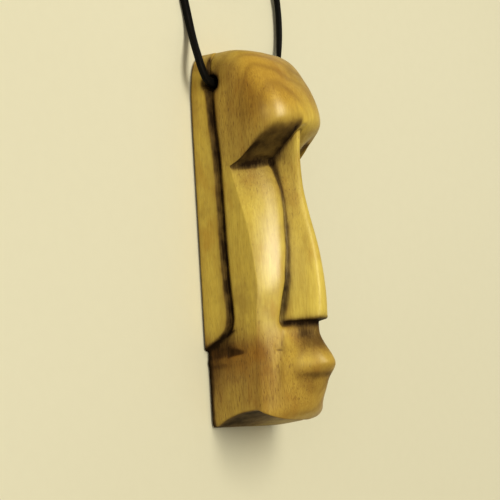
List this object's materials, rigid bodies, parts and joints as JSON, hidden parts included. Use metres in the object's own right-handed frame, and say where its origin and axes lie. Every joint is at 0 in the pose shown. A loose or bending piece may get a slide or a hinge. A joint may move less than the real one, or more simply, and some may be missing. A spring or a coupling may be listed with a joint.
{
  "type": "moai head pendant",
  "caption": "Hand-carved wooden moai head pendant with a flat back, drilled crosswise near the top and threaded on a black leather lace that is knotted and coiled",
  "frame": {"origin": "on the surface that the flat back rests on, under the middle of the head", "axes": "+Z out of the flat back towards the nose, +Y towards the top of the head, X across the face"},
  "size_m": [0.0377, 0.1294, 0.024],
  "materials": {
    "carved_wood": "satin, hand polished, dark stain in the cuts",
    "black_leather": "satin, worn along the edges",
    "black_thread": "waxed thread"
  },
  "bodies": {
    "root": {"head": "carved_wood", "lace": "black_leather", "lace_coil": "black_leather", "neck_knot": "black_leather", "coil_tie": "black_thread"}
  },
  "joints": []
}
